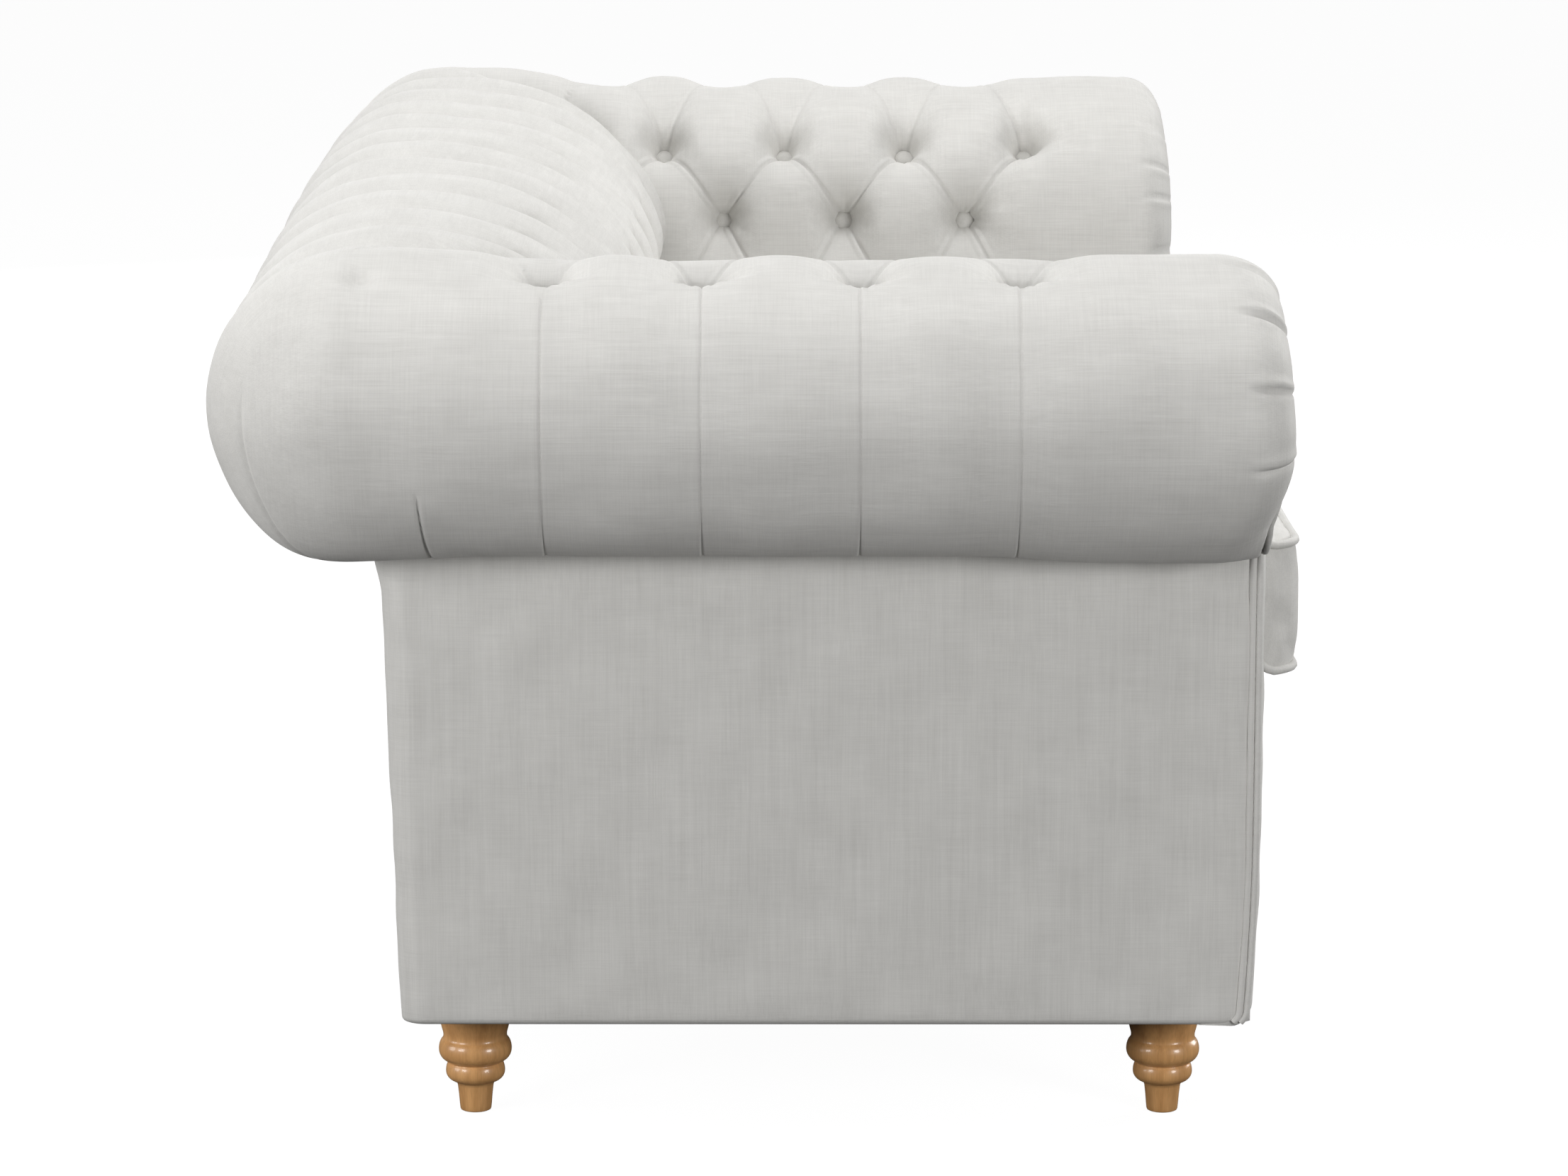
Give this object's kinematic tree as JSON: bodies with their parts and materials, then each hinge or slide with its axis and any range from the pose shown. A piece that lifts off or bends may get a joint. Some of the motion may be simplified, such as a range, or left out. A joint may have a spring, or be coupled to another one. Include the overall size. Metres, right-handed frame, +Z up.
{
  "type": "chesterfield sofa",
  "caption": "Chesterfield sofa with deep-buttoned rolled arms and back of equal height, loose lift-out seat cushions, plain outside panels and turned wooden feet.",
  "frame": {"origin": "on the floor under the middle of the sofa's bounding box", "axes": "+X along the sofa's length from the arm on the left of a viewer in front, +Y from front to back, +Z up"},
  "size_m": [1.8, 0.932, 0.7679],
  "materials": {
    "linen": "pale warm-grey slubbed linen weave",
    "deck_cloth": "plain cotton lining over wadding",
    "hessian": "open natural hessian",
    "dust_cloth": "black non-woven dust cloth",
    "pine": "sawn softwood frame",
    "oak": "satin-lacquered oak",
    "steel": "bright spring steel and zinc-plated hardware"
  },
  "bodies": {
    "sofa": {"left_arm_pad": "linen", "right_arm_pad": "linen", "back_pad": "linen", "left_outside_arm_panel": "linen", "right_outside_arm_panel": "linen", "outside_back_panel": "linen", "left_arm_facing": "linen", "right_arm_facing": "linen", "front_border": "linen", "seat_deck_pad": "deck_cloth", "spring_cover": "hessian", "dust_cover": "dust_cloth", "front_seat_rail": "pine", "rear_seat_rail": "pine", "rear_base_rail": "pine", "left_base_rail": "pine", "right_base_rail": "pine", "centre_stretcher": "pine", "left_front_corner_block": "pine", "left_rear_corner_block": "pine", "right_front_corner_block": "pine", "right_rear_corner_block": "pine", "left_front_arm_post": "pine", "right_front_arm_post": "pine", "left_rear_post": "pine", "right_rear_post": "pine", "back_centre_post": "pine", "left_arm_top_rail": "pine", "right_arm_top_rail": "pine", "back_top_rail": "pine", "left_arm_tacking_rail": "pine", "right_arm_tacking_rail": "pine", "back_tacking_rail": "pine", "left_arm_tuck_rail": "pine", "right_arm_tuck_rail": "pine", "back_tuck_rail": "pine", "front_spring_strip": "steel", "rear_spring_strip": "steel", "seat_spring_1": "steel", "seat_spring_2": "steel", "seat_spring_3": "steel", "seat_spring_4": "steel", "seat_spring_5": "steel", "seat_spring_6": "steel", "left_front_foot": "oak", "left_rear_foot": "oak", "right_front_foot": "oak", "right_rear_foot": "oak", "left_front_foot_bolt": "steel", "left_rear_foot_bolt": "steel", "right_front_foot_bolt": "steel", "right_rear_foot_bolt": "steel", "left_front_foot_nut": "steel", "left_rear_foot_nut": "steel", "right_front_foot_nut": "steel", "right_rear_foot_nut": "steel"},
    "left_cushion": {"seat_cushion_left": "linen"},
    "right_cushion": {"seat_cushion_right": "linen"}
  },
  "joints": [
    {"name": "left_cushion_lift", "type": "slide", "parent": "sofa", "child": "left_cushion", "axis": [0, 0, 1], "range_m": [0, 0.42]},
    {"name": "right_cushion_lift", "type": "slide", "parent": "sofa", "child": "right_cushion", "axis": [0, 0, 1], "range_m": [0, 0.42]}
  ]
}
